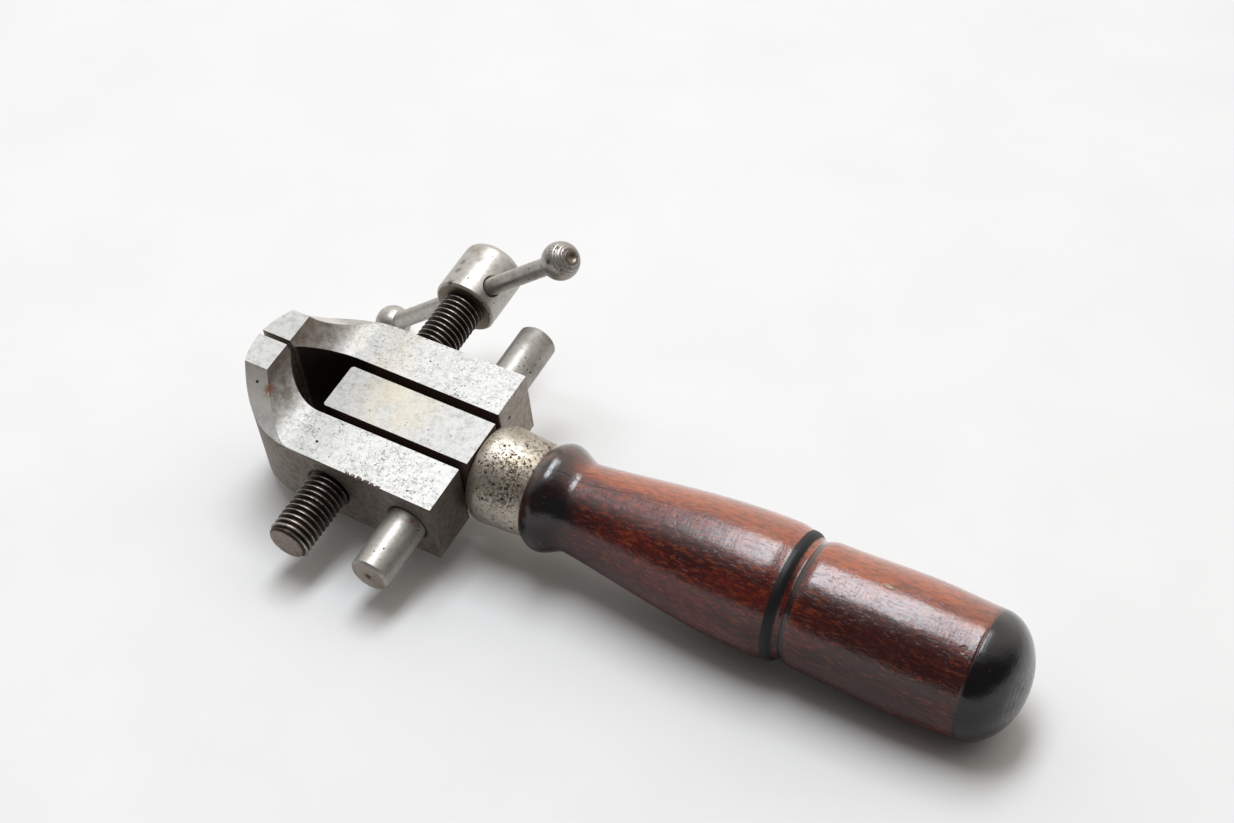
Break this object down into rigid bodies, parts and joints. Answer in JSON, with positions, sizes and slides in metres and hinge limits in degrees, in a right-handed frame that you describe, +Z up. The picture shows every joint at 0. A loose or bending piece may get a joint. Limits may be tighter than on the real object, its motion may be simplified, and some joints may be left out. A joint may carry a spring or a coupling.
{
  "type": "hand vise",
  "caption": "Hand vise with parallel jaws that a left-and-right-hand screw opens and closes evenly, a tommy bar and a turned wooden handle.",
  "frame": {"origin": "middle of the jaw mouth: halfway along the gripping faces, at half their height, on the mid-plane of the centre block", "axes": "+X runs from the mouth to the handle's end, +Y along the screw to its head, +Z up the gripping faces"},
  "size_m": [0.1874, 0.0888, 0.0576],
  "materials": {
    "block_steel": "ground steel, lightly pitted",
    "guide_steel": "smooth ground steel",
    "keeper_steel": "plain steel pin, filed flush",
    "ferrule_nickel": "old nickel plate with brown pitting",
    "handle_wood": "dark red glossy lacquer on turned wood, black at the end and in a band",
    "front_jaw_steel": "ground steel with fine grey pits and a brown bevel",
    "rear_jaw_steel": "ground steel with a light straw tint",
    "screw_steel": "turned steel, brown in the thread, satin on the head",
    "bar_steel": "smooth steel rod with a turned ball",
    "ball_steel": "turned steel ball, riveted on"
  },
  "bodies": {
    "frame": {"centre_block": "block_steel", "guide_pin": "guide_steel", "screw_keeper": "keeper_steel", "ferrule": "ferrule_nickel", "handle": "handle_wood"},
    "front_jaw": {"front_jaw": "front_jaw_steel"},
    "rear_jaw": {"rear_jaw": "rear_jaw_steel"},
    "screw": {"screw": "screw_steel"},
    "bar": {"tommy_bar": "bar_steel", "tommy_bar_ball": "ball_steel"}
  },
  "joints": [
    {"name": "screw_turn", "type": "hinge", "parent": "frame", "child": "screw", "pos_m": [0.02365, 0, 0], "axis": [0, 1, 0], "range_deg": [-144.1, 4104.1]},
    {"name": "front_jaw_slide", "type": "slide", "parent": "frame", "child": "front_jaw", "axis": [0, -1, 0], "range_m": [-0.00056, 0.01596]},
    {"name": "rear_jaw_slide", "type": "slide", "parent": "frame", "child": "rear_jaw", "axis": [0, 1, 0], "range_m": [-0.00056, 0.01596]},
    {"name": "bar_slide", "type": "slide", "parent": "screw", "child": "bar", "axis": [0.7349, 0, 0.6782], "range_m": [-0.0237, 0.0258]}
  ],
  "couplings": [
    {"joint": "screw_turn", "follows": "front_jaw_slide", "rad_per_m": 4488},
    {"joint": "rear_jaw_slide", "follows": "front_jaw_slide", "ratio": 1}
  ]
}
